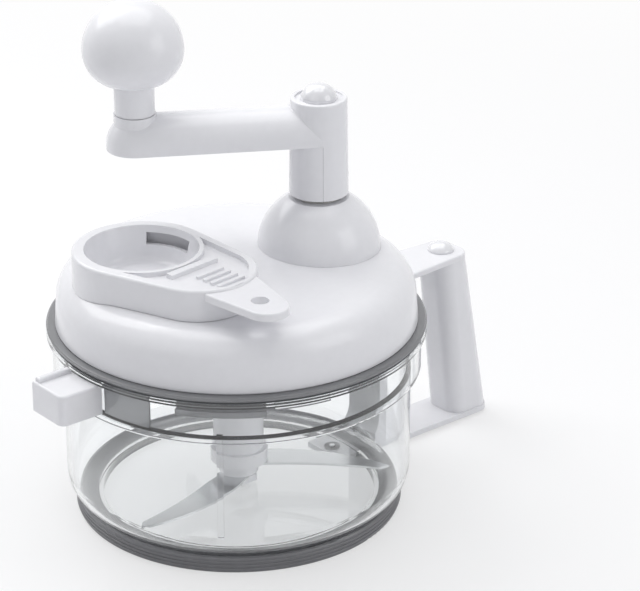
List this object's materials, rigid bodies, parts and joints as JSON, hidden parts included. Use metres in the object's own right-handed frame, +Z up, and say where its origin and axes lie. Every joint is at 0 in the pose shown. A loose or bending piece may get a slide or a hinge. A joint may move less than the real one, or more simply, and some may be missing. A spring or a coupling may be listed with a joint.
{
  "type": "crank food chopper",
  "caption": "Hand-cranked food chopper: clear bowl with side handle, geared twist-lock lid, blade unit and lift-off separator cup over the feed hole.",
  "frame": {"origin": "on the bowl's axis, in the plane of the base ring's underside", "axes": "+Z up along the bowl's axis, +X towards the side handle, +Y to the left of it seen from above"},
  "size_m": [0.281, 0.1916, 0.265],
  "materials": {
    "white_plastic": "smooth white moulded plastic",
    "clear_plastic": "clear moulded plastic",
    "smoke_plastic": "see-through smoke grey plastic",
    "smoke_rubber": "dark grey, slightly see-through",
    "seal_rubber": "dark grey rubber",
    "bearing_plastic": "plain bearing plastic",
    "gear_plastic": "natural gear plastic",
    "pearl_cap": "glossy, slightly see-through cap",
    "steel": "bright steel"
  },
  "bodies": {
    "bowl_body": {"bowl": "clear_plastic", "base_ring": "smoke_rubber", "handle_strap": "white_plastic", "handle_grip": "white_plastic", "handle_screws": "steel", "handle_cap": "pearl_cap", "front_catch": "white_plastic", "catch_screw": "steel"},
    "seal": {"rim_seal": "seal_rubber"},
    "lid": {"lid_shell": "white_plastic", "lock_ring": "smoke_plastic", "gear_dome": "white_plastic", "gear_plate": "white_plastic", "plate_screws": "steel", "crank_bush": "bearing_plastic", "spindle_bush": "bearing_plastic"},
    "feed_cap": {"feed_cap": "white_plastic"},
    "crank": {"crank_arm": "white_plastic", "crank_hub": "white_plastic", "crank_shaft": "steel", "gear_clip": "steel", "gear_wheel": "gear_plastic", "thrust_washer": "seal_rubber", "crank_screw": "steel", "crank_cap": "pearl_cap", "knob_pin": "steel", "knob_washer": "steel"},
    "knob": {"knob": "white_plastic", "knob_neck": "white_plastic"},
    "blade_unit": {"blade_tube": "white_plastic", "hub_spacer": "white_plastic", "hub_nut": "white_plastic", "blade_low": "steel", "blade_middle": "steel", "blade_high": "steel", "drive_spindle": "steel", "drive_pinion": "gear_plastic"}
  },
  "joints": [
    {"name": "lid_lift", "type": "slide", "parent": "bowl_body", "child": "seal", "axis": [0, 0, 1], "range_m": [0, 0.1]},
    {"name": "lid_turn", "type": "hinge", "parent": "seal", "child": "lid", "pos_m": [0, 0, 0.1], "axis": [0, 0, 1], "range_deg": [0, 12]},
    {"name": "feed_cap_lift", "type": "slide", "parent": "lid", "child": "feed_cap", "axis": [0, 0, 1], "range_m": [0, 0.035]},
    {"name": "crank_spin", "type": "hinge", "parent": "lid", "child": "crank", "pos_m": [0.04548, -0.00967, 0.16], "axis": [0, 0, 1], "continuous": true},
    {"name": "knob_spin", "type": "hinge", "parent": "crank", "child": "knob", "pos_m": [-0.03318, 0.03667, 0.215], "axis": [0, 0, 1], "continuous": true},
    {"name": "blade_spin", "type": "hinge", "parent": "lid", "child": "blade_unit", "pos_m": [0, 0, 0.06], "axis": [0, 0, 1], "continuous": true}
  ],
  "couplings": [
    {"joint": "blade_spin", "follows": "crank_spin", "ratio": -2.4444}
  ]
}
